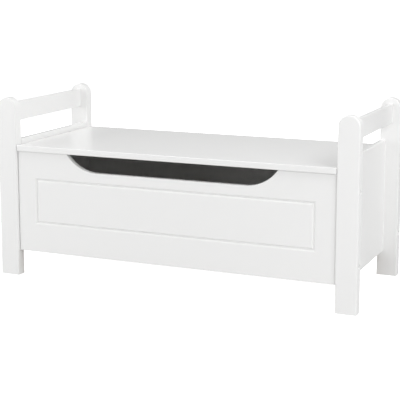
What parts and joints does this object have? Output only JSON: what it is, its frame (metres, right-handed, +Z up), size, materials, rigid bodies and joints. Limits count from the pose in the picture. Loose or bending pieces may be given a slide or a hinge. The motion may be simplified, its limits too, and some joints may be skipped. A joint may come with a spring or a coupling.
{
  "type": "toy box bench",
  "caption": "Child's storage bench: end frames with round-topped posts and hand rails, panelled box with a hand cut-out, hinged seat lid.",
  "frame": {"origin": "on the floor, under the middle of the bench's length and depth", "axes": "+X along the bench to its right end as seen from the front, -Y out of the front panel, +Z up"},
  "size_m": [1.04, 0.44, 0.504],
  "materials": {
    "post_paint": "satin",
    "rail_paint": "satin",
    "panel_paint": "satin",
    "bottom_board": "satin",
    "batten_wood": "matte",
    "dowel_wood": "matte",
    "soft_pad": "matte",
    "friction_sleeve": "matte",
    "cap_plastic": "satin",
    "hinge_steel": "satin",
    "fastener_steel": "satin"
  },
  "bodies": {
    "box": {"post_front_left": "post_paint", "post_front_right": "post_paint", "post_rear_left": "post_paint", "post_rear_right": "post_paint", "rail_left": "rail_paint", "rail_right": "rail_paint", "side_panel_left": "panel_paint", "side_panel_right": "panel_paint", "front_panel": "panel_paint", "back_panel": "panel_paint", "bottom_panel": "bottom_board", "batten_front": "batten_wood", "batten_rear": "batten_wood", "batten_left": "batten_wood", "batten_right": "batten_wood", "lid_pads": "soft_pad", "hinge_left_base_leaf": "hinge_steel", "hinge_left_sleeve": "friction_sleeve", "hinge_middle_base_leaf": "hinge_steel", "hinge_middle_sleeve": "friction_sleeve", "hinge_right_base_leaf": "hinge_steel", "hinge_right_sleeve": "friction_sleeve", "hinge_base_screws": "fastener_steel", "frame_bolts": "fastener_steel", "barrel_nuts": "fastener_steel", "bolt_caps": "cap_plastic", "frame_dowels": "dowel_wood", "rail_dowels": "dowel_wood", "side_dowels": "dowel_wood", "batten_screws": "fastener_steel"},
    "lid": {"lid": "panel_paint", "hinge_left_lid_leaf": "hinge_steel", "hinge_left_pin": "fastener_steel", "hinge_middle_lid_leaf": "hinge_steel", "hinge_middle_pin": "fastener_steel", "hinge_right_lid_leaf": "hinge_steel", "hinge_right_pin": "fastener_steel", "hinge_lid_screws": "fastener_steel"}
  },
  "joints": [
    {"name": "lid_hinge", "type": "hinge", "parent": "box", "child": "lid", "pos_m": [0, 0.2104, 0.3603], "axis": [-1, 0, 0], "range_deg": [0, 95]}
  ]
}
